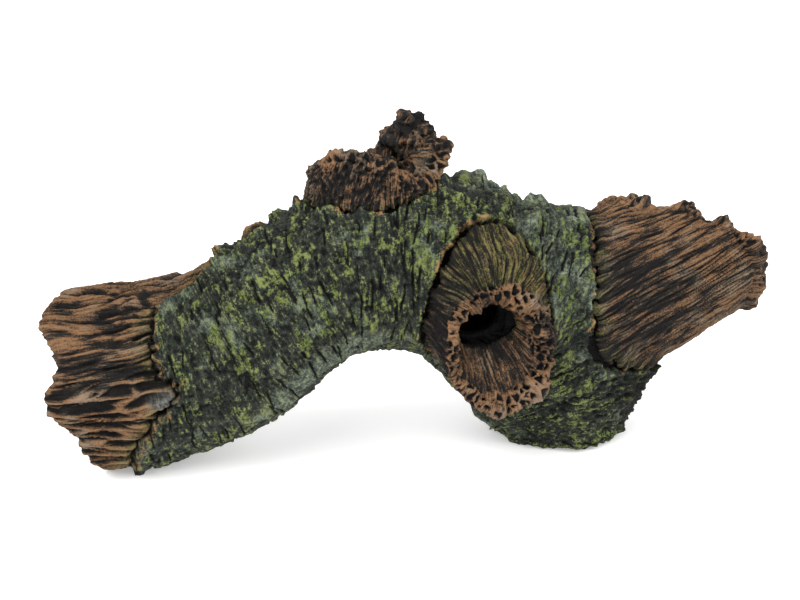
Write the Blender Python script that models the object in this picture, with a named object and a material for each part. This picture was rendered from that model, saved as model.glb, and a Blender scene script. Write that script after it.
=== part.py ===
"""Mossy log: a hollow, arched length of log that rests on its left end and on a right foot.

It is split at its main forks into four solids: the trunk, the bare limb that leaves it at the
upper right, the broken stump on its top, and the hollow knot that opens on its front.
Every solid is a loft of rings. A ring has a centre, an up direction, a side direction and two
half widths. Each broken end runs out past its last ring by a reach that changes around it.

Frame: +X runs along the log to the limb, +Y runs from the knot to the plain back, +Z is up.
The origin is the middle of the bounding box at floor level. Values are in metres.
"""

import math
from collections import namedtuple

import bpy
import numpy as np
from mathutils import Vector, noise

MM = 0.001

# Driving dimensions
WALL = 8.5 * MM  # thickness of the hollow log's wall
RIM = 2.0 * MM  # how far a broken rim's two edges are rounded in
FORK_GAP = 0.3 * MM  # clearance between two solids that meet at a fork
LUMP_HEIGHT = 1.3 * MM  # height of the low swellings on every surface
LUMP_LENGTH = 21 * MM  # their spacing
RING_STEP = 7.5 * MM  # spacing of the rings along the trunk

TRUNK_SIDES = 48
FORK_SIDES = 36

# A section of a solid: its centre, half height, half depth, and the lean of its plane in degrees,
# 0 where the log runs level and more where it climbs towards +X.
Section = namedtuple("Section", "x y z half_up half_side lean")

TRUNK = [  # from the left mouth over the arch to the foot
    Section(-122, -12, 35.5, 37, 31, -2),
    Section(-97, -10, 37, 36, 31, 6),
    Section(-74, -8, 43.5, 34.5, 32, 17),
    Section(-56, -6, 52, 32.5, 32, 24),
    Section(-41, -4, 63, 31, 31, 20),
    Section(-23, -1, 73, 30, 30, 8),
    Section(-3, 2, 75, 30, 30, 0),
    Section(15, 5, 72.3, 35.7, 31, -9),
    Section(33, 9, 59.8, 38.2, 33, -18),
    Section(48, 14, 50.9, 44.8, 33, -28),
    Section(61, 18, 34, 39.5, 30, -45),
    Section(67.5, 21, 15.5, 33, 27, -66),
    Section(63, 21, 2, 23.5, 22, -83),
    Section(60, 21, -9, 20.5, 19, -90),
]
HOLLOW_SECTIONS = 9  # the trunk's hollow runs this many sections in from the mouth
MOUTH_RUN = 40 * MM  # the rings within this of a broken end are stretched to follow its reach

LIMB = [  # from inside the trunk to the broken end
    Section(44, 13, 38, 24, 24, 29),
    Section(58, 15, 46.5, 29, 27, 29),
    Section(71, 17, 53.5, 32, 28, 29),
    Section(92, 21, 65, 31.5, 27, 29),
    Section(112, 26, 76, 30.5, 25, 29),
]
LIMB_CUP_DEPTH = 1.5 * MM
LIMB_RUN = 45 * MM

STUMP = [  # from inside the trunk to the broken crown, with each ring's up towards -X
    Section(-15, 2, 72, 25, 17, 90),
    Section(-14, 3, 88, 26, 18, 90),
    Section(-13, 4, 103, 25, 17.5, 88),
    Section(-10, 5, 117, 26, 16, 82),
]
STUMP_CUP_DEPTH = 1.5 * MM
STUMP_RUN = 25 * MM

# A cup is sunk its depth below the lowest point of its rim. Its steps are shares of the depth,
# and how many wall thicknesses the cup is inset there.
CUP_STEPS = ((0.0, 1.0), (0.6, 1.15), (1.0, 1.5))

# The knot's rings lie along its own axis: distance out from the trunk's skin, the centre's shift
# up and towards +X, and the half widths.
KnotRing = namedtuple("KnotRing", "out rise slide half_up half_side")
KNOT_AT = Vector((27, -22, 60)) * MM
KNOT_AXIS = Vector((0.34, -0.935, -0.09)).normalized()
KNOT = [
    KnotRing(-24, 7, 4, 28, 25),
    KnotRing(-8, 7, 4, 29, 25),
    KnotRing(4, 3, 4, 27, 22.5),
    KnotRing(14, -1, 2.5, 23, 21.5),
    KnotRing(21, -3, 2.5, 21.5, 21.5),
]
KNOT_FUNNEL = [  # the same, for the bore's wall, from the mouth in to the throat
    KnotRing(20, -3, 1.5, 14.5, 15.5),
    KnotRing(12, 0, 0, 12.5, 14.5),
    KnotRing(2, 4, -2.5, 8.5, 12.5),
    KnotRing(-24, 4, -2, 7.5, 11.5),
]
KNOT_BORE_LENGTH = 36 * MM

# Reach of each broken end past its last ring, in mm, by the angle in degrees around it.
# 0 is the ring's up side and 90 its front, towards -Y.
LEFT_REACH = {
    10: 8, 30: 15, 42: 14, 49: 9, 60: 8, 70: 5, 76: 9, 86: 12, 93: 11, 101: 6, 110: 2,
    118: -1, 133: -3, 150: -5, 180: -7, 205: -9, 228: -4, 245: -12, 262: -8, 280: -14, 300: -9,
    322: -12, 345: -5,
}  # fmt: skip
LIMB_REACH = {
    0: -15, 18: -11, 30: -6, 38: 3, 46: 7, 52: 9, 60: 11, 66: 14, 72: 20, 84: 22, 94: 24,
    104: 25, 116: 24, 135: 18, 155: 13, 180: 6, 204: 8, 228: -2, 250: 3, 272: -10, 300: -6,
    320: -14, 340: -16,
}  # fmt: skip
STUMP_REACH = {
    0: -5, 20: -3, 38: 3, 56: 6, 66: 4, 74: 8, 84: 4, 96: 6, 112: 1, 130: -2, 150: 3, 170: 10,
    188: 12, 204: 9, 222: 11, 236: 17, 248: 19, 260: 13, 272: 2, 290: -3, 312: -5, 336: -4,
}  # fmt: skip
KNOT_REACH = {
    0: -9, 22: -7, 45: -9, 68: -3, 90: -1, 112: 2, 135: 6, 160: 9, 180: 8, 200: 6, 225: 4,
    250: 1, 270: -3, 292: -1, 315: -5, 338: -7,
}  # fmt: skip

COLOURS = {  # base colour and roughness of each solid
    "trunk": ((0.055, 0.085, 0.035), 0.85),
    "limb": ((0.22, 0.10, 0.05), 0.8),
    "stump": ((0.16, 0.075, 0.04), 0.85),
    "knot": ((0.20, 0.09, 0.045), 0.8),
}


def clear_scene():
    for obj in list(bpy.data.objects):
        bpy.data.objects.remove(obj, do_unlink=True)


def new_collection(name):
    collection = bpy.data.collections.new(name)
    bpy.context.scene.collection.children.link(collection)
    return collection


def new_material(name):
    colour, roughness = COLOURS[name]
    material = bpy.data.materials.new(name)
    material.use_nodes = True
    shader = material.node_tree.nodes["Principled BSDF"]
    shader.inputs["Base Color"].default_value = (*colour, 1)
    shader.inputs["Roughness"].default_value = roughness
    shader.inputs["Metallic"].default_value = 0
    return material


def smooth_rows(rows, count):
    """Rows of numbers, resampled to count rows along a Catmull-Rom curve through them."""
    rows = np.asarray(rows, float)
    padded = np.vstack([2 * rows[0] - rows[1], rows, 2 * rows[-1] - rows[-2]])
    steps = np.linalg.norm(np.diff(rows[:, :3], axis=0), axis=1)
    knots = np.concatenate([[0], np.cumsum(steps)])
    out = []
    for distance in np.linspace(0, knots[-1], count):
        i = min(int(np.searchsorted(knots, distance, side="right")) - 1, len(rows) - 2)
        t = (distance - knots[i]) / steps[i]
        a, b, c, d = padded[i : i + 4]
        out.append(
            0.5 * (2 * b + (c - a) * t + (2 * a - 5 * b + 4 * c - d) * t**2
                   + (3 * b - a - 3 * c + d) * t**3)
        )  # fmt: skip
    return out


def path_length(rows):
    return float(np.linalg.norm(np.diff(np.asarray(rows)[:, :3], axis=0), axis=1).sum()) * MM


def end_shares(rows, run):
    """For each row, 1 at the path's last row, falling to 0 at run metres before it."""
    return [max(0.0, 1 - path_length(rows[i:]) / run) for i in range(len(rows))]


def reach_at(reaches, degrees):
    """The reach at an angle, in metres, read straight between its neighbours in the table."""
    angles = sorted(reaches)
    around = [*angles, angles[0] + 360]
    values = [reaches[a] for a in [*angles, angles[0]]]
    return float(np.interp(degrees % 360, around, values)) * MM


def lump(point):
    return LUMP_HEIGHT * noise.noise(point / LUMP_LENGTH)


def ring(centre, up, side, half_up, half_side, sides, move=None):
    """The points of one ring, with low swellings. move(degrees) shifts a point as a vector."""
    points = []
    for k in range(sides):
        degrees = 360 * k / sides
        angle = math.radians(degrees)
        out = up * (half_up * math.cos(angle)) - side * (half_side * math.sin(angle))
        point = centre + out
        point += out.normalized() * lump(point)
        points.append(point + move(degrees) if move else point)
    return points


def section_axes(section):
    """(up, side, along) of a section: side is +Y, and along is the way its plane faces."""
    lean = math.radians(section[5])
    up = Vector((-math.sin(lean), 0, math.cos(lean)))
    along = Vector((math.cos(lean), 0, math.sin(lean)))
    return up, Vector((0, 1, 0)), along


def section_ring(section, sides, inset=0.0, move=None):
    up, side, _ = section_axes(section)
    centre = Vector(section[:3]) * MM
    half_up, half_side = section[3] * MM - inset, section[4] * MM - inset
    return ring(centre, up, side, half_up, half_side, sides, move)


def skin(name, rings, collection, tube=False):
    """A closed mesh object over the rings. The ends are capped, or joined to each other on a tube."""
    sides = len(rings[0])
    points = [p for row in rings for p in row]
    rows = len(rings)
    faces = []
    for i in range(rows if tube else rows - 1):
        here, there = i * sides, (i + 1) % rows * sides
        for k in range(sides):
            after = (k + 1) % sides
            faces.append((here + k, here + after, there + after, there + k))
    if not tube:
        for first, order in ((0, -1), ((rows - 1) * sides, 1)):
            hub = len(points)
            points.append(sum(rings[first // sides], Vector()) / sides)
            for k in range(sides):
                pair = (first + k, first + (k + 1) % sides)[::order]
                faces.append((*pair, hub))
    mesh = bpy.data.meshes.new(name)
    mesh.from_pydata(points, [], faces)
    mesh.update()
    if signed_volume(mesh) < 0:
        mesh.flip_normals()
    mesh.shade_smooth()
    obj = bpy.data.objects.new(name, mesh)
    collection.objects.link(obj)
    return obj


def signed_volume(mesh):
    mesh.calc_loop_triangles()
    corners = [[mesh.vertices[v].co for v in t.vertices] for t in mesh.loop_triangles]
    return sum(a.dot(b.cross(c)) for a, b, c in corners)


def hide_as_cutter(obj):
    obj.hide_render = True
    obj.display_type = "WIRE"
    return obj


def cut(obj, cutter, name):
    boolean = obj.modifiers.new(name, "BOOLEAN")
    boolean.operation = "DIFFERENCE"
    boolean.object = cutter
    return boolean


def run_out(section, reaches, way, share, held_back=0.0):
    """The shift of a ring near a broken end: a share of the reach, less what it is held back."""
    _, _, along = section_axes(section)
    return lambda degrees: along * (way * (reach_at(reaches, degrees) * share - held_back))


def broken_skin(rows, sides, reaches, way, run, inset=0.0):
    """Rings along rows of sections whose last ones, within run of the end, follow its reach."""
    shares = end_shares(rows, run)
    return [
        section_ring(row, sides, inset, run_out(row, reaches, way, share))
        for row, share in zip(rows, shares)
    ]


def broken_rim(section, sides, reaches, way):
    """The three rings of a broken end, from the outer skin over the rim to the inner wall."""
    return [
        section_ring(section, sides, inset, run_out(section, reaches, way, 1, held_back))
        for inset, held_back in ((0, RIM), (RIM, 0), (WALL - RIM, RIM))
    ]


def trunk_rings(grow=0.0, hollow=True):
    """The trunk's rings, from the foot to the mouth and back in along the hollow."""
    count = round(path_length(TRUNK) / RING_STEP)
    outer = smooth_rows(TRUNK, count)[::-1]
    if not hollow:
        return [section_ring(s, TRUNK_SIDES, -grow) for s in outer]
    rings = broken_skin(outer, TRUNK_SIDES, LEFT_REACH, -1, MOUTH_RUN)[:-1]
    rings += broken_rim(outer[-1], TRUNK_SIDES, LEFT_REACH, -1)
    lining = TRUNK[:HOLLOW_SECTIONS]
    count = round(path_length(lining) / RING_STEP)
    inner = smooth_rows(lining, count)[:0:-1]
    return rings + broken_skin(inner, TRUNK_SIDES, LEFT_REACH, -1, MOUTH_RUN, WALL)[::-1]


def cupped_end(sections, reaches, run, depth, steps):
    """Rings of a fork with a broken end: its outer skin, its rim, and a cup sunk into it."""
    rings = broken_skin(smooth_rows(sections, steps), FORK_SIDES, reaches, 1, run)[:-1]
    end = sections[-1]
    rings += broken_rim(end, FORK_SIDES, reaches, 1)
    lowest = min(reaches.values()) * MM
    for share, narrowing in CUP_STEPS:
        floor = run_out(end, reaches, 1, 0, RIM + depth * share - lowest)
        rings.append(section_ring(end, FORK_SIDES, WALL * narrowing, floor))
    return rings


def knot_ring(spec, inset=0.0, share=0.0, held_back=0.0):
    """One ring around the knot's axis, shifted by a share of the rim's reach less held_back."""
    up = (Vector((0, 0, 1)) - KNOT_AXIS * KNOT_AXIS.z).normalized()
    side = up.cross(KNOT_AXIS)
    centre = KNOT_AT + (KNOT_AXIS * spec.out + up * spec.rise + side * spec.slide) * MM

    def rim_shift(degrees):
        return KNOT_AXIS * (reach_at(KNOT_REACH, degrees) * share - held_back)

    half_up, half_side = spec.half_up * MM - inset, spec.half_side * MM - inset
    return ring(centre, up, side, half_up, half_side, FORK_SIDES, rim_shift)


def knot_rings():
    """The knot's outer skin, rim and funnel, which close on themselves as a tube."""
    rim = KNOT[-1]
    rings = [knot_ring(spec, 0, max(0, spec.out / rim.out)) for spec in KNOT[:-1]]
    rings.append(knot_ring(rim, 0, 1, RIM))
    rings.append(knot_ring(rim, RIM, 1))
    mouth = KNOT_FUNNEL[0]
    rings.append(knot_ring(mouth, 0, 1, RIM))
    return rings + [knot_ring(spec, 0, max(0, spec.out / mouth.out)) for spec in KNOT_FUNNEL[1:]]


def make_floor_cutter(collection):
    """A block whose top is the floor."""
    size = 400 * MM
    bpy.ops.mesh.primitive_cube_add(size=size, location=(0, 0, -size / 2))
    floor = bpy.context.object
    floor.name = "floor_cutter"
    for home in list(floor.users_collection):
        home.objects.unlink(floor)
    collection.objects.link(floor)
    return hide_as_cutter(floor)


def make_bore_cutter(collection):
    """The knot's throat, carried on through the trunk's wall into the hollow."""
    throat = KNOT_FUNNEL[-1]
    rings = [
        knot_ring(throat._replace(out=out))
        for out in (throat.out, throat.out + KNOT_BORE_LENGTH / MM)
    ]
    return hide_as_cutter(skin("bore_cutter", rings, collection))


def centre_on_floor(nodes, root):
    """Moves the root so that the nodes' common box is centred on the origin in X and Y."""
    bpy.context.view_layer.update()
    graph = bpy.context.evaluated_depsgraph_get()
    corners = []
    for node in nodes:
        mesh = node.evaluated_get(graph).to_mesh()
        corners += [node.matrix_world @ v.co for v in mesh.vertices]
    for axis in range(2):
        values = [c[axis] for c in corners]
        root.location[axis] = -(min(values) + max(values)) / 2


def main():
    clear_scene()
    parts = new_collection("mossy_log")
    cutters = new_collection("cutters")

    trunk = skin("trunk", trunk_rings(), parts)
    limb = skin("limb", cupped_end(LIMB, LIMB_REACH, LIMB_RUN, LIMB_CUP_DEPTH, 9), parts)
    stump = skin("stump", cupped_end(STUMP, STUMP_REACH, STUMP_RUN, STUMP_CUP_DEPTH, 7), parts)
    knot = skin("knot", knot_rings(), parts, tube=True)
    nodes = [trunk, limb, stump, knot]

    floor = make_floor_cutter(cutters)
    bore = make_bore_cutter(cutters)
    envelope = skin("trunk_envelope", trunk_rings(FORK_GAP, hollow=False), cutters)
    hide_as_cutter(envelope)
    cut(trunk, floor, "flat to rest on")
    cut(trunk, bore, "way in from the knot")
    for fork in (limb, stump, knot):
        cut(fork, envelope, "seat on the trunk")

    for node in nodes:
        node.data.materials.append(new_material(node.name))
    root = bpy.data.objects.new("log_root", None)
    parts.objects.link(root)
    for obj in [*nodes, floor, bore, envelope]:
        obj.parent = root
    centre_on_floor(nodes, root)


main()
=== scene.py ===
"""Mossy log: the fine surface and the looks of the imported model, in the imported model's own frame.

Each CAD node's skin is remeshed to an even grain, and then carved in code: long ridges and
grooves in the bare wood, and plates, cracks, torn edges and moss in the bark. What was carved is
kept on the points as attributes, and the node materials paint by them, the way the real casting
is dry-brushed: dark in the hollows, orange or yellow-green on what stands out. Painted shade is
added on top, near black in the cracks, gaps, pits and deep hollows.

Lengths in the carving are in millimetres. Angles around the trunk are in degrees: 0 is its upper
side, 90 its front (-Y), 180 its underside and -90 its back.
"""

import math

import bpy
import numpy as np
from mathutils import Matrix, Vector
from mathutils.bvhtree import BVHTree


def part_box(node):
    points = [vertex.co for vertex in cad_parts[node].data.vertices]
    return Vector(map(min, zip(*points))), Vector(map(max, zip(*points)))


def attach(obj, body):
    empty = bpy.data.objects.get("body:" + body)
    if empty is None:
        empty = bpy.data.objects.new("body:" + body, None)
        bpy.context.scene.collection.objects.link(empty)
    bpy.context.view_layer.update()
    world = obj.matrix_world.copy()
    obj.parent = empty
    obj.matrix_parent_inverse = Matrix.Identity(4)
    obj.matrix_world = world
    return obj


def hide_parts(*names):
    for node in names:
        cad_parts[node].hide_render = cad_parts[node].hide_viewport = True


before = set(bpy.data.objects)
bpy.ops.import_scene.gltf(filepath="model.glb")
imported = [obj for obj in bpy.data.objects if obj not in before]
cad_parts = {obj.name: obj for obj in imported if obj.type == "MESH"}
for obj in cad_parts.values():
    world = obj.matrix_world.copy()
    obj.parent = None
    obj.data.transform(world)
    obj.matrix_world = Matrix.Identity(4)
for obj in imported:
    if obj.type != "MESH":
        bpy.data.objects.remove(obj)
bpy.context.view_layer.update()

MM = 0.001
FRONT = np.array([0.0, -1.0, 0.0])
TRUNK_GIRTH = 32.0  # radii in mm, which turn an angle around a piece into a length
HOLLOW_GIRTH = 24.0
LIMB_GIRTH = 28.0
STUMP_GIRTH = 20.0
KNOT_GIRTH = 22.0


# ---- Noise and small formulas ----


def corner_hash(x, y, z, seed):
    """A repeatable random number for each corner of a lattice."""
    mixed = x * np.uint32(0x8DA6B343) ^ y * np.uint32(0xD8163841) ^ z * np.uint32(0xCB1AB31F)
    mixed ^= np.uint32(seed * 0x9E3779B1 & 0xFFFFFFFF)
    mixed ^= mixed >> np.uint32(15)
    mixed *= np.uint32(0x2C1B3C6D)
    mixed ^= mixed >> np.uint32(12)
    mixed *= np.uint32(0x297A2D39)
    return mixed ^ mixed >> np.uint32(15)


def noise(points, size, seed=0):
    """Smooth noise, mostly between -1 and 1. size is its grain, one number or one for each axis."""
    at = np.asarray(points, np.float32) / np.asarray(size, np.float32)
    cell = np.floor(at)
    part = at - cell
    cell = np.ascontiguousarray(cell.astype(np.int32)).view(np.uint32)
    fade = part**3 * (part * (part * 6 - 15) + 10)
    total = np.zeros(len(at), np.float32)
    for corner in range(8):
        step = (corner & 1, corner >> 1 & 1, corner >> 2)
        hashed = corner_hash(*(cell[:, k] + np.uint32(step[k]) for k in range(3)), seed)
        value = np.zeros(len(at), np.float32)
        weight = np.ones(len(at), np.float32)
        for k in range(3):
            slope = (hashed >> np.uint32(8 * k) & np.uint32(255)).astype(np.float32) / 127.5 - 1
            value += slope * (part[:, k] - step[k])
            weight *= fade[:, k] if step[k] else 1 - fade[:, k]
        total += weight * value
    return total * 2.2  # the sum alone stays within about half of -1 to 1


def layered(points, size, layers=3, seed=0):
    """Noise with finer layers on it, each half the size and half the height of the last."""
    size = np.asarray(size, float)
    return sum(noise(points, size / 2**k, seed + k) / 2**k for k in range(layers))


def rise(value, low, high):
    """0 at low, 1 at high, and a smooth slope between. low may be the larger."""
    t = np.clip((value - low) / (high - low), 0, 1)
    return t * t * (3 - 2 * t)


def bump(value, middle, half_width):
    """1 at the middle, falling smoothly to 0 at half_width away on both sides."""
    return rise(np.abs(value - middle), half_width, 0)


def by_angle(table, angles):
    """A value from a table of angle: value, read straight between its neighbours, right around."""
    keys = sorted(table)
    around = [keys[-1] - 360, *keys, keys[0] + 360]
    values = [table[k] for k in (keys[-1], *keys, keys[0])]
    return np.interp(angles, around, values)


def unit(vectors):
    return vectors / np.maximum(np.linalg.norm(vectors, axis=-1, keepdims=True), 1e-9)


# ---- Meshes as arrays of points (mm) and quads ----


def read_mesh(mesh):
    """The points and quads of a mesh whose faces all have four sides."""
    points = np.empty(len(mesh.vertices) * 3, np.float32)
    mesh.vertices.foreach_get("co", points)
    corners = np.empty(len(mesh.loops), np.int32)
    mesh.loops.foreach_get("vertex_index", corners)
    return points.reshape(-1, 3) / MM, corners.reshape(-1, 4)


def write_mesh(name, points, quads):
    """A smooth-shaded mesh from points and quads."""
    mesh = bpy.data.meshes.new(name)
    mesh.vertices.add(len(points))
    mesh.vertices.foreach_set("co", (points * MM).astype(np.float32).ravel())
    mesh.loops.add(quads.size)
    mesh.loops.foreach_set("vertex_index", quads.astype(np.int32).ravel())
    mesh.polygons.add(len(quads))
    mesh.polygons.foreach_set("loop_start", np.arange(0, quads.size, 4, dtype=np.int32))
    mesh.update(calc_edges=True)
    mesh.shade_smooth()
    return mesh


def with_modifiers(mesh, *settings):
    """A mesh's points and quads after modifiers, each given as (type, {setting: value})."""
    obj = bpy.data.objects.new("scratch", mesh)
    bpy.context.scene.collection.objects.link(obj)
    for kind, values in settings:
        modifier = obj.modifiers.new(kind, kind)
        for name, value in values.items():
            setattr(modifier, name, value)
    bpy.context.view_layer.update()
    done = obj.evaluated_get(bpy.context.evaluated_depsgraph_get())
    points, quads = read_mesh(done.to_mesh())
    done.to_mesh_clear()
    bpy.data.objects.remove(obj)
    bpy.data.meshes.remove(mesh)
    return points, quads


def even_skin(node, grain, rounds):
    """A CAD node's skin as quads about grain mm wide, after some rounds of smoothing."""
    remesh = ("REMESH", {"mode": "VOXEL", "voxel_size": grain * MM})
    smooth = ("SMOOTH", {"iterations": rounds, "factor": 0.5})
    return with_modifiers(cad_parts[node].data.copy(), remesh, smooth)


def subdivide(points, quads, levels):
    """Each quad split in four, levels times, with its new points on a smooth surface."""
    settings = {"levels": levels, "render_levels": levels, "boundary_smooth": "ALL"}
    return with_modifiers(write_mesh("scratch", points, quads), ("SUBSURF", settings))


def part_of(points, quads, kept):
    """The kept quads, the points that they use, and those points' numbers."""
    used, corners = np.unique(quads[kept], return_inverse=True)
    return points[used], corners.reshape(-1, 4), used


def point_normals(points, quads):
    """Each point's normal, from the quads around it, the larger ones weighing more."""
    a, b, c, d = (points[quads[:, k]] for k in range(4))
    face = np.cross(c - a, d - b)
    corners = quads.ravel()
    sums = [np.bincount(corners, np.repeat(face[:, k], 4), len(points)) for k in range(3)]
    return unit(np.stack(sums, axis=1))


def make_piece(name, points, quads, looks, material, normals=None):
    """An object from arrays. looks are its painting attributes, {name: one value a point}."""
    mesh = write_mesh(name, points, quads)
    for look, values in looks.items():
        wide = values.ndim == 2
        layer = mesh.attributes.new(look, "FLOAT_VECTOR" if wide else "FLOAT", "POINT")
        layer.data.foreach_set("vector" if wide else "value", values.astype(np.float32).ravel())
    mesh.materials.append(material)
    if normals is not None:
        mesh.normals_split_custom_set_from_vertices(normals.astype(np.float32))
    obj = bpy.data.objects.new(name, mesh)
    bpy.context.scene.collection.objects.link(obj)
    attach(obj, "root")
    return obj


# ---- Places along and around a piece ----


class Places:
    """Where each point lies along and around a line.

    s runs along the line, angle goes around it and radius away from it. along, out and around
    are the directions in which they grow. grain is the place on a straightened log: its first
    number is s, so noise that is long in the first number runs with the wood.
    """

    def __init__(self, points, line, up_at, girth):
        steps = np.linalg.norm(np.diff(line, axis=0), axis=1)
        lengths = np.concatenate([[0], np.cumsum(steps)])
        tangents = unit(np.gradient(line, axis=0))
        ups = up_at(tangents)
        fronts = np.cross(tangents, ups)
        fronts *= np.sign((fronts @ FRONT).sum()) or 1
        near = np.empty(len(points), int)
        offsets = (line**2).sum(axis=1) / 2
        chunk = 20000  # keeps the table of distances small
        for start in range(0, len(points), chunk):
            some = points[start : start + chunk] @ line.T
            near[start : start + chunk] = (offsets - some).argmin(axis=1)
        away = points - line[near]
        self.along = tangents[near]
        self.s = lengths[near] + (away * self.along).sum(axis=1)
        high = (away * ups[near]).sum(axis=1)
        ahead = (away * fronts[near]).sum(axis=1)
        self.radius = np.hypot(high, ahead)
        turn = np.arctan2(ahead, high)
        self.angle = np.degrees(turn)
        self.out = ups[near] * np.cos(turn)[:, None] + fronts[near] * np.sin(turn)[:, None]
        self.around = fronts[near] * np.cos(turn)[:, None] - ups[near] * np.sin(turn)[:, None]
        self.girth = girth
        self.grain = self.grain_at(turn)

    def grain_at(self, turn):
        """The place on the straightened log of points that are at these turns, in radians."""
        return np.stack([self.s, self.girth * np.cos(turn), self.girth * np.sin(turn)], axis=1)

    def wavy_grain(self, degrees, length, seed):
        """The grain after it has been bent to and fro around the log."""
        bend = noise(self.grain, (length, 16, 16), seed) * math.radians(degrees)
        return self.grain_at(np.radians(self.angle) + bend)

    def from_end(self, sign):
        """How far each point is from the broken end, which is at the low (-1) or high (1) s."""
        bin_width = 4
        count = 360 // bin_width
        bins = ((self.angle + 180) // bin_width).astype(int) % count
        reach = np.full(count, -np.inf)
        np.maximum.at(reach, bins, sign * self.s)
        middles = {(k + 0.5) * bin_width - 180: reach[k] for k in range(count)}
        ends = by_angle(middles, self.angle)
        return ends - sign * self.s


def level_up(tangents):
    """For each tangent in the XZ plane or near it, the way that is up when the log runs level."""
    return unit(np.stack([-tangents[:, 2], 0 * tangents[:, 0], tangents[:, 0]], axis=1))


def upright_up(tangents):
    """For a fork that points at the viewer: its angles start from its upper side."""
    up = np.array([0, 0, 1.0]) - tangents * tangents[:, 2:]
    return unit(up)


def smooth_line(line, step=2.0, width=18.0):
    """A line through corner points, resampled at even steps, with its corners rounded."""
    line = np.asarray(line, float)
    lengths = np.concatenate([[0], np.cumsum(np.linalg.norm(np.diff(line, axis=0), axis=1))])
    at = np.arange(0, lengths[-1], step)
    even = np.stack([np.interp(at, lengths, line[:, k]) for k in range(3)], axis=1)
    half = int(width / step)
    window = np.hanning(2 * half + 1)
    first = 2 * even[0] - even[half:0:-1]
    last = 2 * even[-1] - even[-2 : -half - 2 : -1]
    padded = np.concatenate([first, even, last])
    columns = [np.convolve(padded[:, k], window / window.sum(), "valid") for k in range(3)]
    return np.stack(columns, axis=1)


TRUNK_LINE = [  # roughly through the middle of the trunk, before it is centred on the CAD skin
    (-137, -12, 36), (-98, -10, 37), (-70, -7, 45), (-42, -4, 63), (-20, 0, 73), (10, 4, 73),
    (36, 11, 60), (52, 16, 44), (62, 20, 26), (62, 21, 8), (60, 21, -10),
]  # fmt: skip


def centred_line(points, line, rounds=3):
    """The line moved to the middle of the skin's outline, in cuts across it."""
    line = smooth_line(line)
    slanted_rim = -110  # the mouth's rim reaches to this x, and cuts there are not whole
    reach = 60
    for _ in range(rounds):
        tangents = unit(np.gradient(line, axis=0))
        ups = level_up(tangents)
        moved = line.copy()
        first = int(np.argmax(line[:, 0] > slanted_rim))
        for i in range(first, len(line) - 6, 4):
            away = points - line[i]
            cut = (np.abs(away @ tangents[i]) < 2) & ((away**2).sum(axis=1) < reach**2)
            high = away[cut] @ ups[i]
            deep = away[cut, 1]
            moved[i] += ups[i] * (high.max() + high.min()) / 2
            moved[i, 1] += (deep.max() + deep.min()) / 2
        kept = np.concatenate([[0], np.arange(first, len(line) - 6, 4), [len(line) - 1]])
        moved[0, 1:] += moved[first, 1:] - line[first, 1:]
        line = smooth_line(moved[kept])
    return smooth_line(line, 0.5, 3.0)


def read_corners(node):
    """A CAD node's corners in mm, and a search tree of its faces in metres."""
    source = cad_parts[node].data
    corners = [v.co.copy() for v in source.vertices]
    tree = BVHTree.FromPolygons(corners, [tuple(p.vertices) for p in source.polygons])
    return np.array(corners) / MM, tree


def near_fork(points, normals, node, reach):
    """How far each point is from a fork's skin, inf past reach, and which points it covers."""
    _, tree = read_corners(node)
    low, high = (np.array(c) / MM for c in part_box(node))
    close = np.flatnonzero(((points > low - reach) & (points < high + reach)).all(axis=1))
    gap = np.full(len(points), np.inf)
    covered = np.zeros(len(points), bool)
    for i in close:
        _, facing, _, distance = tree.find_nearest(Vector(points[i] * MM), reach * MM)
        if distance is None:
            continue
        gap[i] = distance / MM
        covered[i] = facing.dot(Vector(normals[i])) < -0.6 and distance < 0.9 * MM
    return gap, covered


# ---- Patterns that are carved ----


def cells(points, size, seed):
    """0 on the walls between rounded cells, up to about 1 in their middles."""
    at = np.asarray(points, np.float32) / np.float32(size)
    home = np.floor(at)
    nearest = np.full(len(at), 9.0, np.float32)
    second = nearest.copy()
    for number in range(27):
        cell = home + np.array([number % 3 - 1, number // 3 % 3 - 1, number // 9 - 1], np.float32)
        corner = np.ascontiguousarray(cell.astype(np.int32)).view(np.uint32)
        hashed = corner_hash(corner[:, 0], corner[:, 1], corner[:, 2], seed)
        shifts = [(hashed >> np.uint32(8 * k) & np.uint32(255)) / np.float32(255) for k in range(3)]
        away = np.linalg.norm(cell + np.stack(shifts, axis=1) - at, axis=1)
        second = np.minimum(second, np.maximum(nearest, away))
        nearest = np.minimum(nearest, away)
    return (second - nearest) * 1.6  # the difference alone is rarely over 0.6


def split_grain(grain, length, pitch, seed):
    """Lens-shaped ridges parted by narrow forking grooves: 0 in a groove, 1 on a ridge."""
    return rise(np.abs(noise(grain, (length, pitch, pitch), seed)), 0.02, 0.38)


def wood_relief(grain, length, pitch, seed):
    """Grain in three sizes, from about -1 in the grooves to 1 on the ridges."""
    coarse = split_grain(grain, length, pitch, seed)
    middle = split_grain(grain, length * 0.6, pitch * 0.5, seed + 1)
    fine = split_grain(grain, length * 0.35, pitch * 0.26, seed + 2)
    return 1.25 * coarse + 0.55 * middle + 0.25 * fine - 1.3


def splintered(points, places, from_end, run, height, pitch, seed, trim=0.0):
    """Moves a broken rim in and out along the log, so that it ends in splinters and notches.

    trim draws the whole rim back by as much as its lumps have added.
    """
    weight = rise(from_end, run, 0)
    teeth = noise(places.grain * (0, 1, 1), pitch, seed)
    teeth = teeth + 0.4 * noise(places.grain * (0, 1, 1), pitch / 2.4, seed + 1)
    return points + places.along * (weight * (teeth * height - trim))[:, None]


# ---- The trunk ----

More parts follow.
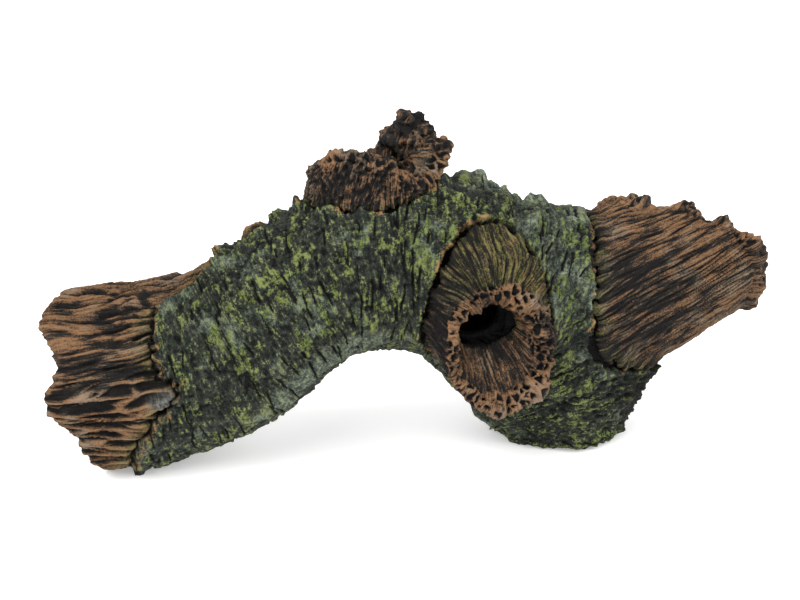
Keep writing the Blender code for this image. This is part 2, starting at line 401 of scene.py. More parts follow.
BARK_EDGE = {  # where the bark starts, by its x, for each angle around the trunk
    -180: -106, -140: -98, -90: -88, -50: -76, -20: -71, 12: -73, 24: -80, 31: -92, 44: -93.5,
    60: -92.5, 76: -90, 83: -84.5, 89: -83, 95: -87, 103: -90, 113: -95, 133: -101, 160: -106,
}  # fmt: skip
LIMB_WAY = (0.875, 0.06, 0.485)
STUMP_WAY = (0.08, 0.03, 0.99)
KNOT_WAY = (0.34, -0.935, -0.09)
HOLLOW_RADIUS = 30  # the hollow's wall lies closer to the trunk's line than this
HOLLOW_LENGTH = 245  # and nearer to the mouth along the line
LINING_FROM = 15  # the rim this deep belongs to the mouth, and what is deeper to the lining
BARK_SPLIT = 150  # where along the line the bark's two pieces meet

TRUNK_SPOTS = {  # the trunk's larger features, by the x, angle, radius, stretch and flat of spot
    "knob": (-58, -14, 7.5, 1.0, 0),  # bare wood on the back edge
    "nub": (-49, -16, 4.5),
    "small_nub": (-41, -12, 4),
    "pebble": (-90, 91, 5.5, 1.5),  # grey, at the left seam
    "stone": (66, -4, 5, 1.2),  # grey, on the upper side near the limb
    "glow": (4, 42, 22),  # brighter moss on the front of the crown
    "bulge": (-127, 42, 17, 1.3),  # smooth wood at the mouth
    "wedge": (-99.5, 112, 8, 0.7),  # orange wood at the left seam
    "band": (-30, 131, 11, 3.0),  # pale bark inside the arch, paler partly as painted light from the floor below
}


def spot(points, places, x, angle, radius, stretch=1.0, flat=0.25):
    """1 at a place on the trunk, given by its x and angle, falling to 0 at radius away.

    flat is the share of the radius that stays at 1.
    """
    along = (points[:, 0] - x) / stretch
    turn = np.radians((places.angle - angle + 180) % 360 - 180) * places.girth
    return rise(np.hypot(along, turn), radius, radius * flat)


def carve_trunk():
    """The trunk, parted into its outside and the wall of its hollow."""
    points, quads = even_skin("trunk", 2.3, 10)
    line = centred_line(points, TRUNK_LINE)
    normals = point_normals(points, quads)
    places = Places(points, line, level_up, TRUNK_GIRTH)
    facing = (normals * places.out).sum(axis=1)
    inside = (facing < -0.2) & (places.radius < HOLLOW_RADIUS) & (places.s < HOLLOW_LENGTH)
    lining = (inside & (places.from_end(-1) > LINING_FROM))[quads].all(axis=1)
    outer_points, outer_quads, _ = part_of(points, quads, ~lining)
    inner_points, inner_quads, _ = part_of(points, quads, lining)
    carve_outside(*subdivide(outer_points, outer_quads, 2), line)
    carve_lining(*subdivide(inner_points, inner_quads, 1), line)


def scatter_cracks(points, normals, places, allowed, count, seed):
    """Thin slanted cracks that run around the log. Gives (crack, lip), each 0 to 1."""
    random = np.random.default_rng(seed)
    crack = np.zeros(len(points))
    lip = np.zeros(len(points))
    spots = np.flatnonzero(allowed)
    taken = np.full((1, 3), 1e6)  # where cracks are, after a first one that is far from all
    tries = count * 5
    for _ in range(tries):
        if len(taken) > count:
            break
        i = spots[random.integers(len(spots))]
        here = points[i]
        spacing = random.choice((2.4, 5.0))
        if np.linalg.norm(taken - here, axis=1).min() < spacing:
            continue
        taken = np.vstack([taken, here])
        low_down = rise(abs(places.angle[i]), 90, 150)
        slant = random.normal(-0.12, 0.1) + 0.12 * low_down
        way = unit(places.around[i] * np.sign(places.angle[i] or 1) + places.along[i] * slant)
        length = random.choice((5, 8, 10, 13, 16)) * random.uniform(0.8, 1.2)
        width = random.uniform(0.2, 0.4)
        bow = random.normal(0, 0.012)
        close = np.flatnonzero((np.abs(points - here) < length / 2 + 3).all(axis=1))
        away = points[close] - here
        down = away @ way
        across = away @ np.cross(normals[i], way) - bow * down**2
        across += 0.12 * np.sin(down * random.uniform(0.5, 1.1))
        ends = rise(np.abs(down), length / 2, length * 0.28)
        cut = rise(np.abs(across), width + 0.3, width * 0.6) * ends
        side = bump(across, random.choice((-1.1, 1.1)), 0.8) * ends
        crack[close] = np.maximum(crack[close], cut)
        lip[close] = np.maximum(lip[close], side)
    return crack, lip


def torn_bark(points, normals):
    """Bark torn open around the forks. Gives (height, lip, dark, bare, seat).

    height is in mm and the rest run from 0 to 1: the orange torn lip, the painted shade in
    the gap, the wood laid bare, and the seat, which is 1 close to a fork.
    """
    height = np.zeros(len(points))
    seat = np.zeros(len(points))
    lip = np.zeros(len(points))
    dark = np.zeros(len(points))
    bare = np.zeros(len(points))
    x, z = points[:, 0], points[:, 2]
    low, high = (np.array(c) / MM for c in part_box("knot"))
    from_knot = points - (low + high) / 2
    clearings = {  # how far the bark stays away from each fork
        "limb": -0.9 + 5.0 * rise(z, 66, 80),
        "knot": -0.9 + 1.6 * rise(x, 38, 50),
        "stump": -1.2 + 0 * z,
    }
    heights = {"limb": 3.0, "knot": 3.2, "stump": 3.2}
    for seed, (node, clear) in enumerate(clearings.items()):
        gap, covered = near_fork(points, normals, node, 16)
        if node == "knot":
            way = unit(from_knot[:, [0, 2]])
            strength = 0.3 + 0.9 * rise(way @ (-0.85, 0.5), 0.1, 0.85)
            torn_here = 0.25 + 0.75 * rise(way @ (-0.5, 0.87), 0.75, 0.95)
        else:
            strength = 0.7 + 0.9 * noise(points, 7, 50 + seed)
            torn_here = rise(noise(points, 6, 59), 0.0, 0.35)
            if node == "limb":
                strength *= 1 - 0.75 * rise(z, 84, 92)
        strength = np.clip(strength, 0.1, 1.5)
        edge = gap - clear + 1.3 * noise(points, 4.5, 53 + seed)
        edge = edge + 0.5 * noise(points, 1.8, 56 + seed)
        near = np.isfinite(gap) & ~covered
        seat = np.maximum(seat, near * rise(gap, 7, 3))
        lift = rise(edge, 0.0, 1.0) * rise(edge, 8, 1.5) * strength
        height += np.where(near, heights[node] * lift, 0)
        lip_at = 0.9 - 1.2 * np.minimum(clear, 0)
        here = near * bump(edge, lip_at, 1.5) * np.minimum(strength, 1) * torn_here
        lip = np.maximum(lip, here)
        # painted shade in the gap between the torn bark and the wood
        dark = np.maximum(dark, near * bump(edge, -0.5, 1.1))
        bare = np.maximum(bare, near * rise(edge, 0.3, -0.3))
        bare = np.where(covered, 1, bare)
        # where the fork covers the trunk, the trunk is painted with shade
        dark = np.where(covered, 0.8, dark)
    way = unit(np.array(KNOT_WAY))
    to_axis = np.linalg.norm(from_knot - np.outer(from_knot @ way, way), axis=1)
    # the knot's bore through the trunk is painted with full shade
    throat = (to_axis < 19) & (points[:, 1] < 0)
    return height, lip, np.where(throat, 1, dark), np.where(throat, 1, bare), seat * ~throat


def carve_outside(points, quads, line):
    """The trunk's outside: bare wood at the mouth and under the forks, and bark on the rest."""
    normals = point_normals(points, quads)
    places = Places(points, line, level_up, TRUNK_GIRTH)
    s, angle, grain = places.s, places.angle, places.grain
    x, z = points[:, 0], points[:, 2]
    facing = (normals * places.out).sum(axis=1)
    from_end = places.from_end(-1)

    # Where the bark starts, and where it is torn open
    ragged = 2.0 * noise(points, 6, 10) + 1.3 * noise(points, 2.4, 11)
    past_edge = x - by_angle(BARK_EDGE, angle) + ragged
    torn_height, torn_lip, torn_dark, bare, seat = torn_bark(points, normals)
    outside = rise(facing + 0.45 * seat, 0.0, 0.5)
    bark = rise(past_edge, -0.3, 0.4) * outside * (1 - bare)
    seam = bump(past_edge, -1.3, 1.8) * outside

    # Lumps and stones that stand out of the log, and the charcoal edge of the foot
    at = {name: spot(points, places, *where) for name, where in TRUNK_SPOTS.items()}
    knob, pebble, stone = at["knob"], at["pebble"], at["stone"]
    bulge, wedge, band = at["bulge"], at["wedge"], at["band"]
    nubs = np.maximum(at["nub"], at["small_nub"])
    char = rise(x, 77, 84) * rise(z, 40, 30) * rise(points[:, 1], 34, 26)
    bark *= 1 - rise(np.maximum(knob, pebble), 0.1, 0.3)

    # Bare wood, which follows the limb's grain where it belongs to the limb
    wavy = places.wavy_grain(5, 30, 20)
    limb_points, _ = read_corners("limb")
    at_limb = (x > 35) & (bare > 0)
    limb_line = straight_line(limb_points, LIMB_WAY)
    wavy[at_limb] = Places(points[at_limb], limb_line, level_up, LIMB_GIRTH).grain
    relief = wood_relief(wavy, 34, 3.9, 21)
    smooth = np.maximum(bulge, wedge)

    # The mouth's lower half has thin raised lines in place of the split grain
    lower = rise(angle + 8 * noise(points, 14, 23), 62, 84) * rise(x, -80, -90)
    lines = rise(np.abs(noise(wavy, (30, 4.8, 4.8), 24)), 0.3, 0.06)
    lines = np.maximum(lines, 0.9 * rise(np.abs(noise(wavy, (20, 3.4, 3.4), 28)), 0.25, 0.05))
    relief = relief * (1 - 0.3 * smooth) + 0.15 * smooth
    spindle = rise(noise(wavy, (16, 2.6, 2.6), 29), 0.26, 0.5) * (1 - 0.8 * smooth)
    relief -= 1.1 * spindle
    share = lower * (1 - 0.8 * smooth)
    relief = relief * (1 - 0.85 * share) + share * (1.8 * lines - 0.9)

    # The wood's height, with the lumps and the groove along the seam
    swelling = layered(points, 15, 2, 25)
    wood_height = 1.25 * relief + 0.6 * swelling + 1.6 * bulge + 1.2 * wedge - 1.6 * seam - 0.9
    wood_height += 0.16 * layered(points, 1.3, 2, 27)
    wood_height += 4.2 * knob * (1 + 0.3 * noise(points, 3, 26)) + 2.4 * pebble
    wood_height[at_limb] = 0.3 + 0.6 * relief[at_limb]

    # Bark: low plates, folds, grit, slanted cracks and raised moss
    plates = layered(points, (10, 8, 10), 3, 30)
    folds = noise(grain, (4.5, 24, 24), 33) * (0.5 + rise(z, 45, 15) * rise(x, 20, 40))
    crust = 1.1 - 2.2 * np.abs(noise(points, 3.4, 34)) - 0.9 * np.abs(noise(points, 1.7, 35))
    moss_place = layered(grain, (4.5, 12, 12), 4, 36)
    moss = rise(moss_place, 0.16, 0.44) * rise(noise(points, 2.0, 43), -0.5, 0.1)
    allowed = (bark > 0.9) & (past_edge > 3) & (z > 3) & (torn_lip < 0.05)
    crack, lip = scatter_cracks(points, normals, places, allowed, 360, 5)
    wrinkles = np.abs(noise(grain, (2.2, 7, 7), 39))
    calm = rise(np.abs(angle), 108, 128) * rise(x, 30, 18)
    fine_bark = 0.5 * crust + 0.35 * moss + 1.1 * wrinkles
    bark_height = 0.95 * plates + 0.5 * folds + fine_bark * (1 - 0.7 * calm) + 0.1
    lobes = 1 - cells(points, 8, 42)
    bark_height += char * (1.8 * lobes - 1.2) + rise(z, 12, 2) * rise(x, 20, 40) * 1.2
    bark_height += 2.4 * rise(past_edge, 7, 1.5) * (0.8 + 0.5 * noise(points, 6, 38))
    bark_height += torn_height - 0.9 * crack + 0.3 * lip

    # The flap along the crest at the right, and its crease
    flap_run = rise(x, 13, 20) * rise(x, 64, 48)
    crease_at = -4 + 5 * noise(points, 12, 40)
    flap = flap_run * bump(angle, -24, 20) * (1 + 0.9 * noise(points, 5, 41))
    crease = flap_run * bump(angle, crease_at, 3.5)
    bark_height += 3.0 * flap - 1.8 * crease + 2.2 * nubs + 1.4 * stone

    height = (1 - bark) * wood_height + bark * bark_height - 1.0 * torn_dark
    height *= outside * rise(z, 0.1, 2.5)
    carved = splintered(points + normals * height[:, None], places, from_end, 12, 1.3, 4.6, 60)
    carved[:, 2] = np.maximum(carved[:, 2], 0)

    # What the materials paint by
    bark_ridge = plates * 0.5 + crust * 0.7 + wrinkles * 1.2 - 0.4
    mossy = (moss + 0.3 * at["glow"]) * (1 - 0.8 * band) * (1 - char) + 0.6 * lip
    # painted shade on faces turned in, where the forks cover the trunk
    turned_in_shade = rise(facing, 0.2 - 0.5 * seat, -0.6) * 0.7
    # painted shade in the cracks, the torn gaps, the seam's groove and the crease; the foot's
    # charcoal edge is its own colour
    shades_and_char = [crack, torn_dark, seam * (1 - bark), crease, turned_in_shade, char * 0.55]
    looks = {
        "grain": wavy / 10,
        "bark": bark,
        "ridge": np.where(bark > 0.5, bark_ridge, relief),
        "moss": np.clip(mossy, 0, 1),
        # dark is painted shade, with the charcoal of the foot's edge
        "dark": np.maximum.reduce(shades_and_char),
        "torn": np.maximum(torn_lip, bump(past_edge, 1.0, 1.4) * 0.6) * bark,
        "stain": rise(past_edge, -12, -1) * (1 - bark) * (1 - knob) * rise(x, 0, -20),
        # pale: the band inside the arch is paler partly as painted light from below; the flap, the
        # upper right and the patches are paler bark
        "pale": np.clip(1.6 * band + flap * 0.6 + 0.35 * rise(x, 32, 50) * rise(z, 50, 65), 0, 1),
        "warm": np.maximum.reduce([bulge, wedge, knob]),
        "stone": np.maximum(pebble, stone),
    }
    fine_normals = point_normals(carved, quads)
    middle_s = s[quads].mean(axis=1)
    is_bark = bark[quads].mean(axis=1) > 0.5
    halfway = BARK_SPLIT + 4 * np.sin(np.radians(angle[quads[:, 0]]) * 3)
    sections = {
        "mouth_wood": (~is_bark, "bare_wood"),
        "bark_left": (is_bark & (middle_s < halfway), "bark"),
        "bark_right": (is_bark & (middle_s >= halfway), "bark"),
    }
    for name, (kept, slot) in sections.items():
        some_points, some_quads, used = part_of(carved, quads, kept)
        some_looks = {look: values[used] for look, values in looks.items()}
        piece = make_piece(
            name, some_points, some_quads, some_looks, TRUNK_SKIN, fine_normals[used]
        )
        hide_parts("trunk")


def carve_lining(points, quads, line):
    """The wall of the hollow, with plain long grooves, painted half in shade all over."""
    normals = point_normals(points, quads)
    places = Places(points, line, level_up, HOLLOW_GIRTH)
    wavy = places.wavy_grain(8, 40, 70)
    relief = wood_relief(wavy, 40, 6, 71)
    border = rise(places.from_end(-1), 14, 22)
    carved = points + normals * (0.6 * relief * border)[:, None]
    unpainted = dict.fromkeys(
        ("bark", "moss", "torn", "stain", "pale", "warm", "stone"), np.zeros(len(points))
    )
    looks = {
        # the whole wall is painted half in shade
        "grain": wavy / 10, "ridge": relief, "dark": np.full(len(points), 0.5), **unpainted,
    }  # fmt: skip
    piece = make_piece("hollow_wall", carved, quads, looks, TRUNK_SKIN)
    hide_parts("trunk")


# ---- The forks ----

END_GRAIN = np.diag([0.3, 1.0, 1.0])  # turns a place into its grain where the wood is cut across
NO_SHADE = {0: 0}
GREEN_HOOD = {0: 1, -60: 1, -100: 0.4, -125: 0, 60: 0.4, 85: 0, 180: 0}


def straight_line(points, way):
    """A straight line through a fork's middle, from its root to past its tip."""
    way = unit(np.asarray(way, float))
    middle = (points.min(axis=0) + points.max(axis=0)) / 2
    along = (points - middle) @ way
    steps = np.arange(along.min() - 4, along.max() + 4, 0.5)
    return middle + way * steps[:, None]


def carve_fork(name, size, way, up_at, girth, material, grain, rim, depth, seed,
               knobs=(), fill=0.0, dark_from=99.0, spongy=1.0, green=0.0, sooty=0.0,
               rough=0.0, dim=0.0, flare=0.9, cupped=True, shaded=NO_SHADE):  # fmt: skip
    """A fork, carved with its own grain and a spongy, knobbly rim.

    grain is (how far it sways in degrees, length, pitch), rim is ({angle: width}, lumps, teeth)
    and depth is the height of the grain's ridges. Each knob is (x, height) of a lump on the rim.
    fill thickens the inside, which is painted with shade from dark_from in. spongy and rough say how
    much the rim is pitted, its pits painted with shade, and the surface gritty, and flare how far the
    root swells onto the trunk.
    cupped says that the inside has a floor cut across the grain.

    The paint is stained green outside by green, darkened in patches by sooty, towards the root
    by dim, and in the angles of shaded, {angle: amount}. Where the trunk overgrows the root, it is
    stained green and darkened with painted contact shade.
    """
    points, quads = even_skin(name, size, 8)
    points, quads = subdivide(points, quads, 2)
    normals = point_normals(points, quads)
    places = Places(points, straight_line(points, way), up_at, girth)

    # Outside, inside, the floor of the cup, and the root, where the trunk overgrows it and painted
    # contact shade darkens it
    facing = (normals * places.out).sum(axis=1)
    outside = rise(facing, -0.1, 0.45)
    from_end = np.maximum(places.from_end(1), 0)
    floor = rise((normals * places.along).sum(axis=1), 0.5, 0.8) * rise(from_end, 5, 9) * cupped
    inside = np.maximum(rise(facing, 0.05, -0.4), floor)
    root = rise(places.s, 8, 16)
    to_trunk, _ = near_fork(points, normals, "trunk", 6)
    root_flare = rise(to_trunk, 5, 0.8) * outside * (1 + 0.9 * noise(points, 4.5, seed + 40))
    # green overgrowth, and painted contact shade, next to the trunk
    overgrowth_and_contact_shade = rise(to_trunk + 1.6 * noise(points, 4, seed + 41), 4.5, 0.8)

    # The grain, and the spongy rim with its knobs
    sway, length, pitch = grain
    rim_width, lumps, teeth = rim
    wavy = places.wavy_grain(sway, 26, seed)
    wavy[floor > 0.3] = (points @ END_GRAIN)[floor > 0.3]
    relief = wood_relief(wavy, length, pitch, seed + 1)
    swelling = layered(points, 12, 2, seed + 6)
    rim_width = by_angle(rim_width, places.angle)
    ragged = rim_width * (1 + 0.4 * noise(places.grain * (0, 1, 1), 7, seed + 7))
    band = rise(from_end, ragged, ragged * 0.55) * root
    knob_face = np.zeros(len(points))
    knob_height = np.zeros(len(points))
    for at, lump in knobs:
        face = rise(np.hypot(points[:, 0] - at, from_end - 2), 6, 0.8)
        knob_face = np.maximum(knob_face, face * (lump > 0))
        knob_height = knob_height + lump * face
    band = np.maximum(band, 0.8 * knob_face)
    warp = np.stack([noise(points, 2.4, seed + 10 + k) for k in range(3)], axis=1)
    sponge = cells(points + 0.7 * warp, 3.1, seed + 8) + 0.18 * noise(points, 0.9, seed + 14)
    pits = rise(sponge, 0.26, 0.66) * spongy
    rim_height = band * (lumps * layered(points, 6, 3, seed + 9) + 0.9 - 1.7 * pits)

    # The height of all this together
    height = depth * relief * (1 - 0.7 * band) + 0.5 * swelling
    filling = fill * (1 + 0.7 * layered(points, 6, 3, seed + 16)) * rise(from_end, 2, 8)
    height = height * (outside + (0.3 if fill else 0.7) * inside) + rim_height
    height += filling * inside * root + flare * root_flare
    gritty = 1 - 2.4 * np.abs(noise(points, 3.0, seed + 17))
    gritty = gritty - 1.2 * np.abs(noise(points, 1.4, seed + 18))
    height += 0.14 * layered(points, 1.3, 2, seed + 18) + rough * gritty * (1 - 0.5 * band)
    height += knob_height * (outside + 0.3 * inside)
    carved = points + normals * height[:, None]
    carved = splintered(carved, places, from_end, 10, teeth, 4.2, seed + 20, 1.4)

    # What the materials paint by
    patches = layered(wavy, (14, 6, 6), 3, seed + 30)
    shade = by_angle(shaded, places.angle) * outside * (1 - band)
    hood = by_angle(GREEN_HOOD, places.angle)
    ridge = relief * (1 - 0.8 * band) + band * (0.7 - 2.4 * pits + 0.8 * swelling)
    ridge = ridge - knob_face * (0.4 + pits) + rough * (gritty - 0.2)
    # painted shade deep inside, and in the pits of the rim
    deep_inside_shade = 0.75 * inside * rise(from_end, dark_from, dark_from + 9)
    # charcoal patches, and darker towards the root; the painted shade is added in the attribute below
    soot_and_shade = (sooty * (0.3 - patches) + dim * rise(from_end, 18, 45)) * (1 - 0.5 * band)
    looks = {
        "grain": wavy / 10,
        "ridge": ridge,
        "dark": np.maximum(band * pits * 0.7, deep_inside_shade),
        "stain": np.maximum(green * outside * (1 - band) * hood, 0.8 * overgrowth_and_contact_shade),
        # the charcoal patches, with painted shade by angle and painted contact shade next to the
        # trunk
        "soot_and_shade": soot_and_shade + shade + 0.9 * overgrowth_and_contact_shade,
    }
    piece = make_piece(f"{name}_wood", carved, quads, looks, material)
    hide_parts(name)


# ---- Materials ----


class Paint:
    """Builds one node material. Values may be numbers, colours or another node's output."""

    def __init__(self, name):
        self.material = bpy.data.materials.new(name)
        self.material.use_nodes = True
        self.tree = self.material.node_tree
        self.shader = self.tree.nodes["Principled BSDF"]

    def feed(self, socket, value):
        if isinstance(value, bpy.types.NodeSocket):
            self.tree.links.new(value, socket)
        else:
            socket.default_value = value

    def attribute(self, name, wide=False):
        made = self.tree.nodes.new("ShaderNodeAttribute")
        made.attribute_name = name
        return made.outputs["Vector" if wide else "Fac"]

    def place(self):
        """The place on the object, in millimetres."""
        made = self.tree.nodes.new("ShaderNodeTexCoord")
        return self.scaled(made.outputs["Object"], (1000, 1000, 1000))

    def scaled(self, vector, factors):
        made = self.tree.nodes.new("ShaderNodeVectorMath")
        made.operation = "MULTIPLY"
        self.feed(made.inputs[0], vector)
        made.inputs[1].default_value = factors
        return made.outputs[0]

    def noise(self, vector, size, detail=2.0, roughness=0.55, warp=0.0):
        made = self.tree.nodes.new("ShaderNodeTexNoise")
        self.feed(made.inputs["Vector"], vector)
        made.inputs["Scale"].default_value = 1 / size
        made.inputs["Detail"].default_value = detail
        made.inputs["Roughness"].default_value = roughness
        made.inputs["Distortion"].default_value = warp
        return made.outputs[0]

    def maths(self, operation, a, b=0.0, clamp=False):
        made = self.tree.nodes.new("ShaderNodeMath")
        made.operation = operation
        made.use_clamp = clamp
        self.feed(made.inputs[0], a)
        self.feed(made.inputs[1], b)
        return made.outputs[0]

    def rise(self, value, low, high):
        made = self.tree.nodes.new("ShaderNodeMapRange")
        made.interpolation_type = "SMOOTHSTEP"
        self.feed(made.inputs["Value"], value)
        self.feed(made.inputs["From Min"], low)
        self.feed(made.inputs["From Max"], high)
        return made.outputs["Result"]

    def mix(self, share, a, b):
        made = self.tree.nodes.new("ShaderNodeMix")
        made.data_type = "RGBA"
        self.feed(made.inputs[0], share)
        for socket, value in ((made.inputs[6], a), (made.inputs[7], b)):
            self.feed(socket, value if isinstance(value, bpy.types.NodeSocket) else (*value, 1))
        return made.outputs[2]

    def ramp(self, value, stops):
        """A colour for the value, from (place, colour) stops."""
        made = self.tree.nodes.new("ShaderNodeValToRGB")
        self.feed(made.inputs[0], value)
        elements = made.color_ramp.elements
        while len(elements) < len(stops):
            elements.new(0.5)
        for element, (position, colour) in zip(elements, stops):
            element.position = position
            element.color = (*colour, 1)
        return made.outputs[0]

    def bump(self, height, strength, distance, below=None):
        made = self.tree.nodes.new("ShaderNodeBump")
        made.inputs["Strength"].default_value = strength
        made.inputs["Distance"].default_value = distance * MM
        self.feed(made.inputs["Height"], height)
        if below is not None:
            self.feed(made.inputs["Normal"], below)
        return made.outputs["Normal"]

    def finish(self, colour, roughness, normal):
        self.feed(self.shader.inputs["Base Color"], colour)
        self.feed(self.shader.inputs["Roughness"], roughness)
        self.feed(self.shader.inputs["Normal"], normal)
        self.shader.inputs["Specular IOR Level"].default_value = 0.15
        return self.material


# near black: painted shade in cracks, gaps, pits and hollows, and the charcoal of the foot's edge
SHADE_AND_CHAR_BLACK = (0.004, 0.004, 0.004)
WOOD_BROWN = (
    (0.24, (0.007, 0.006, 0.006)), (0.42, (0.017, 0.015, 0.012)), (0.50, (0.045, 0.030, 0.020)),
    (0.58, (0.127, 0.067, 0.033)), (0.80, (0.235, 0.130, 0.065)),
)  # fmt: skip
WOOD_GREY = (
    (0.24, (0.007, 0.007, 0.006)), (0.42, (0.021, 0.019, 0.016)), (0.52, (0.057, 0.045, 0.033)),
    (0.62, (0.121, 0.084, 0.054)), (0.82, (0.228, 0.161, 0.107)),
)  # fmt: skip
BARK_DARK = (
    (0.32, (0.003, 0.003, 0.003)), (0.46, (0.013, 0.016, 0.013)), (0.60, (0.033, 0.040, 0.027)),
    (0.78, (0.088, 0.104, 0.058)),
)  # fmt: skip
BARK_PALE = (
    (0.32, (0.018, 0.024, 0.020)), (0.50, (0.088, 0.108, 0.080)), (0.72, (0.275, 0.315, 0.215)),
)  # fmt: skip
MOSS = (
    (0.40, (0.026, 0.036, 0.010)), (0.55, (0.080, 0.104, 0.028)), (0.72, (0.184, 0.216, 0.072)),
)  # fmt: skip
GREEN_STAIN = (
    (0.35, (0.012, 0.013, 0.005)), (0.55, (0.081, 0.077, 0.022)), (0.75, (0.183, 0.169, 0.054)),
)  # fmt: skip
TORN_EDGE = (
    (0.35, (0.028, 0.020, 0.009)), (0.52, (0.140, 0.086, 0.032)), (0.70, (0.270, 0.165, 0.070)),
)  # fmt: skip
GREY_STONE = (
    (0.30, (0.016, 0.017, 0.016)), (0.52, (0.065, 0.065, 0.059)), (0.72, (0.166, 0.166, 0.151)),
)  # fmt: skip


class Grit:
    """The fine textures that both the paint and the bumps of a material follow."""

    def __init__(self, paint):
        place = paint.place()
        grain = paint.attribute("grain", True)
        self.ridge = paint.attribute("ridge")
        self.streaks = paint.noise(paint.scaled(grain, (1.0, 10, 10)), 0.6, 3.0, 0.65)
        self.speckle = paint.noise(place, 0.55, 3.0, 0.65)
        self.crumbs = paint.noise(place, 1.4, 3.0, 0.6)
        self.patches = paint.noise(place, 13, 2.0, 0.5)
        self.wrinkles = paint.noise(paint.scaled(grain, (10, 2.4, 2.4)), 0.8, 3.0, 0.65)


def spread(paint, middle, *terms):
    """A value around the middle, to read a colour ramp with. Each term is (value, weight)."""
    result = middle - sum(weight * 0.5 for _, weight in terms)
    for value, weight in terms:
        result = paint.maths("ADD", paint.maths("MULTIPLY", value, weight), result)
    return result


def wood_colour(paint, grit, middle, shift=0.0, steep=0.3):
    """Dry-brushed wood: charcoal in the grooves, orange and tan on the ridges, in fine streaks."""
    level = spread(paint, middle, (grit.streaks, 1.05), (grit.speckle, 0.85), (grit.patches, 0.4))
    level = paint.maths("ADD", level, paint.maths("MULTIPLY", grit.ridge, steep))
    level = paint.maths("ADD", level, shift)
    brown = paint.ramp(level, WOOD_BROWN)
    grey = paint.ramp(level, WOOD_GREY)
    colour = paint.mix(paint.rise(grit.patches, 0.48, 0.66), brown, grey)
    return colour, level


def finish_skin(paint, grit, colour, wrinkled):
    """Paints shade over what the carving left deep, and the charcoal of the foot's edge, both by the
    dark attribute, and adds the fine bumps.
    """
    colour = paint.mix(paint.rise(paint.attribute("dark"), 0.2, 0.75), colour, SHADE_AND_CHAR_BLACK)
    rough = paint.rise(grit.speckle, 0.3, 0.7)
    rough = paint.maths("ADD", paint.maths("MULTIPLY", rough, 0.35), 0.5)
    normal = paint.bump(grit.crumbs, 1.0, 1.1)
    normal = paint.bump(grit.speckle, 1.0, 0.8, normal)
    normal = paint.bump(grit.streaks, 0.7, 0.6, normal)
    normal = paint.bump(grit.wrinkles, wrinkled, 0.6, normal)
    return paint.finish(colour, rough, normal)


def trunk_material():
    """Bark, moss, torn edges and bare wood in one material, parted by the carved attributes."""
    paint = Paint("log_skin")
    grit = Grit(paint)
    wood, level = wood_colour(paint, grit, 0.505)
    warm = paint.attribute("warm")
    tan = paint.ramp(paint.maths("ADD", level, 0.06), WOOD_BROWN)
    wood = paint.mix(warm, wood, tan)
    stain = paint.maths("MULTIPLY", paint.attribute("stain"), paint.rise(grit.speckle, 0.4, 0.6))
    green = paint.ramp(level, GREEN_STAIN)
    wood = paint.mix(paint.maths("MULTIPLY", stain, 0.8), wood, green)

    moss = paint.attribute("moss")
    height = spread(paint, 0.5, (grit.crumbs, 0.65), (grit.speckle, 0.8), (grit.wrinkles, 0.7))
    height = paint.maths("ADD", height, paint.maths("MULTIPLY", grit.ridge, 0.12))
    pale = paint.maths("ADD", paint.attribute("pale"), paint.rise(grit.patches, 0.53, 0.7))
    bark = paint.mix(paint.maths("MULTIPLY", pale, 0.8, True), paint.ramp(height, BARK_DARK),
                     paint.ramp(height, BARK_PALE))  # fmt: skip
    brushed = paint.maths("ADD", height, paint.maths("MULTIPLY", moss, 0.25))
    bark = paint.mix(paint.rise(brushed, 0.66, 0.74), bark, paint.ramp(height, MOSS))
    tear = paint.attribute("torn")
    torn = paint.maths("ADD", height, paint.maths("MULTIPLY", tear, 0.4))
    torn = paint.maths("MULTIPLY", paint.rise(torn, 0.66, 0.78), paint.rise(tear, 0.05, 0.4))
    bark = paint.mix(torn, bark, paint.ramp(height, TORN_EDGE))

    colour = paint.mix(paint.rise(paint.attribute("bark"), 0.35, 0.65), wood, bark)
    colour = paint.mix(paint.attribute("stone"), colour, paint.ramp(height, GREY_STONE))
    return finish_skin(paint, grit, colour, 0.7)


def fork_material(name, middle):
    """Bare wood. middle is where on the wood's colour ramps its average lies."""
    paint = Paint(name)
    grit = Grit(paint)
    # darker by charcoal patches and by painted shade
    soot_and_shade = paint.maths("MULTIPLY", paint.attribute("soot_and_shade"), -0.12)
    wood, level = wood_colour(paint, grit, middle, soot_and_shade, 0.22)
    stain = paint.maths("MULTIPLY", paint.attribute("stain"), paint.rise(grit.streaks, 0.46, 0.56))
    wood = paint.mix(stain, wood, paint.ramp(level, GREEN_STAIN))
    return finish_skin(paint, grit, wood, 0.2)


TRUNK_SKIN = trunk_material()


# ---- Studio ----

CAMERA_TARGET = (-0.0035, 0, 0.062)
CAMERA_DISTANCE = 0.72
CAMERA_ELEVATION = 20  # degrees
CAMERA_LENS = 85
LIGHTS_AIM = (0, 0, 0.05)


def make_floor():
    """A large white floor, which glows a little so that the shadow on it stays pale."""
    bpy.ops.mesh.primitive_plane_add(size=30, location=(0, 0, 0))
    floor = bpy.context.object
    floor.name = "floor"
    paint = Paint("floor_white")
    paint.shader.inputs["Base Color"].default_value = (0.93, 0.93, 0.93, 1)
    paint.shader.inputs["Roughness"].default_value = 0.9
    paint.shader.inputs["Emission Color"].default_value = (1, 1, 1, 1)
    paint.shader.inputs["Emission Strength"].default_value = 0.3
    floor.data.materials.append(paint.material)


def make_light(name, at, size, watts):
    """A soft disk of light that faces the object. size is its diameter in metres."""
    lamp = bpy.data.lights.new(name, "AREA")
    lamp.shape = "DISK"
    lamp.size = size
    lamp.energy = watts
    obj = bpy.data.objects.new(name, lamp)
    bpy.context.scene.collection.objects.link(obj)
    obj.location = at
    obj.rotation_euler = (Vector(LIGHTS_AIM) - Vector(at)).to_track_quat("-Z", "Y").to_euler()


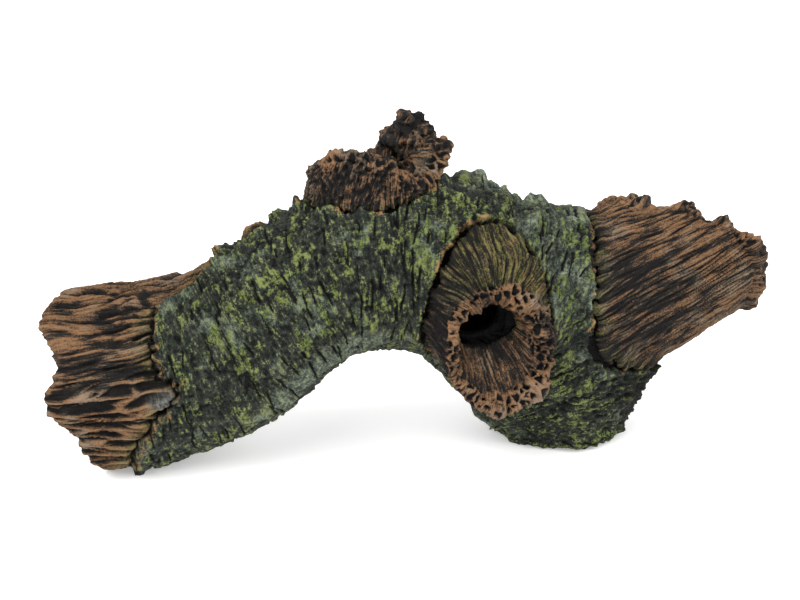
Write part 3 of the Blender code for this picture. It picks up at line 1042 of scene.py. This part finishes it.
def make_studio():
    """The white surroundings, the floor, two lights and the camera."""
    scene = bpy.context.scene
    world = bpy.data.worlds.new("studio")
    world.use_nodes = True
    background = world.node_tree.nodes["Background"]
    background.inputs["Color"].default_value = (1, 1, 1, 1)
    background.inputs["Strength"].default_value = 1.1
    scene.world = world
    scene.view_settings.view_transform = "Standard"
    make_floor()
    make_light("key", (-0.6, -0.8, 1.2), 1.4, 23)
    make_light("fill", (0.9, -0.7, 0.8), 0.8, 7)

    camera = bpy.data.cameras.new("camera")
    camera.lens = CAMERA_LENS
    obj = bpy.data.objects.new("camera", camera)
    scene.collection.objects.link(obj)
    tilt = math.radians(CAMERA_ELEVATION)
    back = Vector((0, -math.cos(tilt), math.sin(tilt)))
    obj.location = Vector(CAMERA_TARGET) + back * CAMERA_DISTANCE
    obj.rotation_euler = (-back).to_track_quat("-Z", "Y").to_euler()
    scene.camera = obj


# ---- The scene ----

make_studio()
carve_trunk()
carve_fork(
    "limb", 2.0, LIMB_WAY, level_up, LIMB_GIRTH, fork_material("limb_skin", 0.55),
    grain=(2.5, 26, 2.1), rim=({0: 7, 90: 5}, 1.3, 1.4), depth=0.8, seed=100, sooty=0.8,
    dark_from=10, spongy=0.9, dim=1.0, flare=2.0,
    knobs=((90, 4.2), (99, -1.2), (107, 2.4), (113, -1.4), (119, 2.6), (126, -1.0), (132, 2.4)),
)  # fmt: skip
carve_fork(
    "stump", 1.6, STUMP_WAY, level_up, STUMP_GIRTH, fork_material("stump_skin", 0.48),
    grain=(8, 12, 1.7), rim=({0: 5, 90: 6}, 1.6, 0.7), depth=0.5, seed=200, sooty=1.0,
    fill=6.0, dark_from=20, spongy=0.8, rough=0.6, knobs=((4.5, 2.2),),
)  # fmt: skip
carve_fork(
    "knot", 1.75, KNOT_WAY, upright_up, KNOT_GIRTH, fork_material("knot_skin", 0.52),
    grain=(10, 18, 1.7), rim=({0: 2.5, -40: 2.5, -70: 4, -120: 8, 180: 5, 140: 3, 90: 2}, 1.7, 1.0),
    depth=0.6, seed=300, sooty=0.6, dark_from=16, green=1.0, rough=0.2, flare=1.3, cupped=False,
    shaded={0: 0.5, -50: 0, -130: 0, 150: 0.8, 100: 1.6, 50: 1.4, 20: 0.8},
)  # fmt: skip
